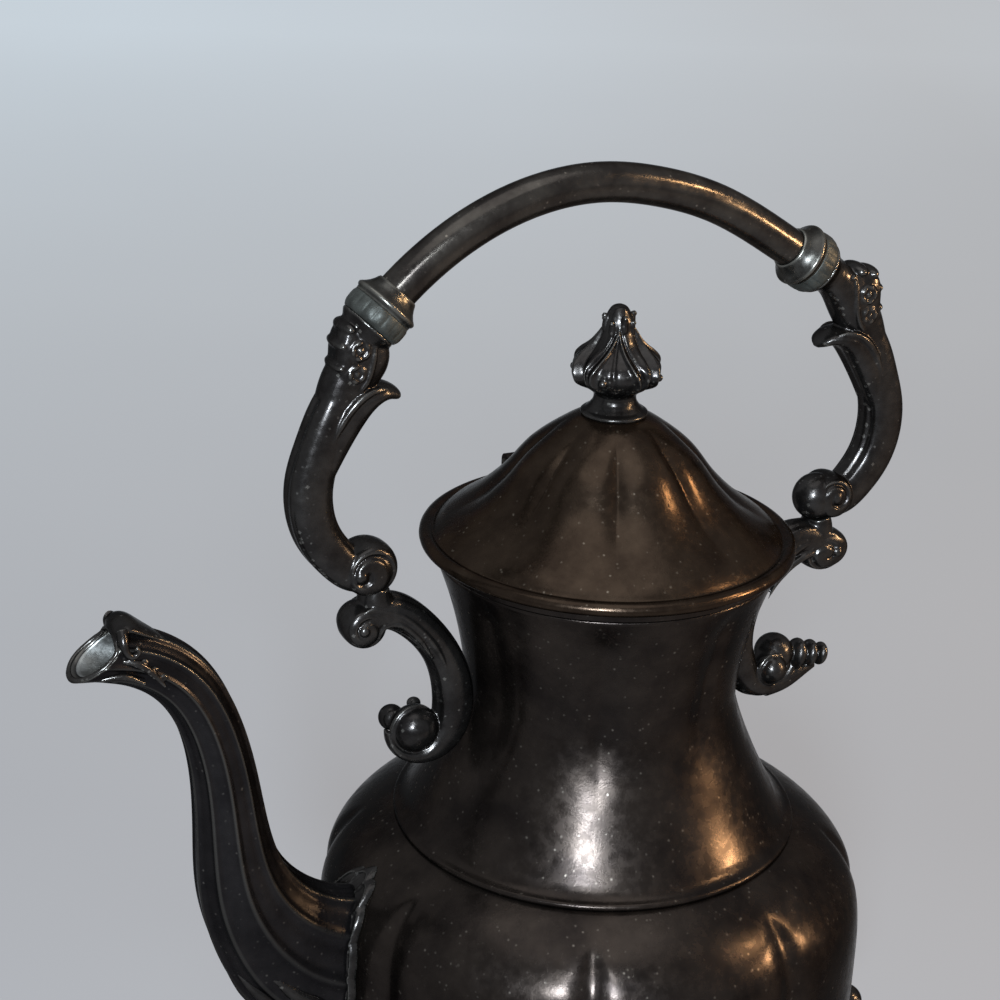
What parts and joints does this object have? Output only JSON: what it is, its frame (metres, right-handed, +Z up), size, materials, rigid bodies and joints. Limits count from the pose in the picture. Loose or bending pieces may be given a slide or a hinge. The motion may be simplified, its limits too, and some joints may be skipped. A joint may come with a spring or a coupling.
{
  "type": "spirit kettle on stand",
  "caption": "Lobed metal spirit kettle with swan spout, overhead scroll handle and hinged bud-topped lid, tilting on a legged stand over a spirit burner.",
  "frame": {"origin": "middle of the box's bottom: on the table, half way between the spout's tip and the rear post's scroll, under the handle plane", "axes": "+Z up along the kettle's upright axis, -X towards the spout, handle in the XZ plane, lid hinge on the +Y side"},
  "size_m": [0.2168, 0.1342, 0.3492],
  "materials": {
    "tarnished_silverplate": "silver plate gone dark brown-black, glossy",
    "lid_silverplate": "silver plate gone olive brown, glossy with brushed wear",
    "cast_mounts": "cast and plated, dark tarnish with worn high points",
    "ferrule_plate": "dark plate, worn at the rim",
    "stand_silverplate": "dark tarnished silver plate",
    "pin_metal": "dark plate, rubbed",
    "burner_plate": "dark tarnished plate",
    "insulator": "matte grey-green composition",
    "wick_cotton": "woven cotton, singed at the top"
  },
  "bodies": {
    "stand": {"stand_ring": "stand_silverplate", "front_post": "cast_mounts", "rear_post": "cast_mounts", "cradle_ring": "stand_silverplate", "leg_rear_far": "stand_silverplate", "leg_front_far": "stand_silverplate", "leg_front_near": "stand_silverplate", "leg_rear_near": "stand_silverplate", "stretcher_rear_far": "stand_silverplate", "stretcher_front_far": "stand_silverplate", "stretcher_front_near": "stand_silverplate", "stretcher_rear_near": "stand_silverplate"},
    "kettle": {"kettle_body": "tarnished_silverplate", "body_base": "tarnished_silverplate", "foot_ring": "tarnished_silverplate", "kettle_neck": "tarnished_silverplate", "neck_seat": "tarnished_silverplate", "spout": "tarnished_silverplate", "spout_collar": "cast_mounts", "front_bracket": "cast_mounts", "rear_bracket": "cast_mounts", "front_handle_arm": "cast_mounts", "rear_handle_arm": "cast_mounts", "handle_grip": "tarnished_silverplate", "front_ferrule": "ferrule_plate", "rear_ferrule": "ferrule_plate", "front_insulator": "insulator", "rear_insulator": "insulator", "handle_studs": "pin_metal", "front_lug": "cast_mounts", "rear_lug": "cast_mounts", "rest_pin": "pin_metal", "hinge_neck_leaf": "tarnished_silverplate", "hinge_pin": "pin_metal"},
    "lid": {"lid_shell": "lid_silverplate", "lid_bezel": "lid_silverplate", "hinge_lid_leaf": "lid_silverplate", "finial": "cast_mounts", "finial_base": "cast_mounts", "finial_nut": "pin_metal"},
    "tilt_pin": {"tilt_pin": "pin_metal"},
    "burner": {"burner_font": "burner_plate", "burner_cap": "burner_plate", "wick_tube": "burner_plate", "wick": "wick_cotton"},
    "snuffer": {"snuffer": "burner_plate"}
  },
  "joints": [
    {"name": "kettle_tilt", "type": "hinge", "parent": "stand", "child": "kettle", "pos_m": [-0.04695, 0, 0.116], "axis": [0, -1, 0], "range_deg": [0, 50]},
    {"name": "lid_hinge", "type": "hinge", "parent": "kettle", "child": "lid", "pos_m": [0.02068, 0.0457, 0.2636], "axis": [-1, 0, 0], "range_deg": [0, 55]},
    {"name": "tilt_pin_slide", "type": "slide", "parent": "stand", "child": "tilt_pin", "axis": [0, -1, 0], "range_m": [0, 0.02]},
    {"name": "burner_lift", "type": "slide", "parent": "stand", "child": "burner", "axis": [0, 0, 1], "range_m": [0, 0.016]},
    {"name": "snuffer_lift", "type": "slide", "parent": "burner", "child": "snuffer", "axis": [0, 0, 1], "range_m": [0, 0.015]}
  ]
}
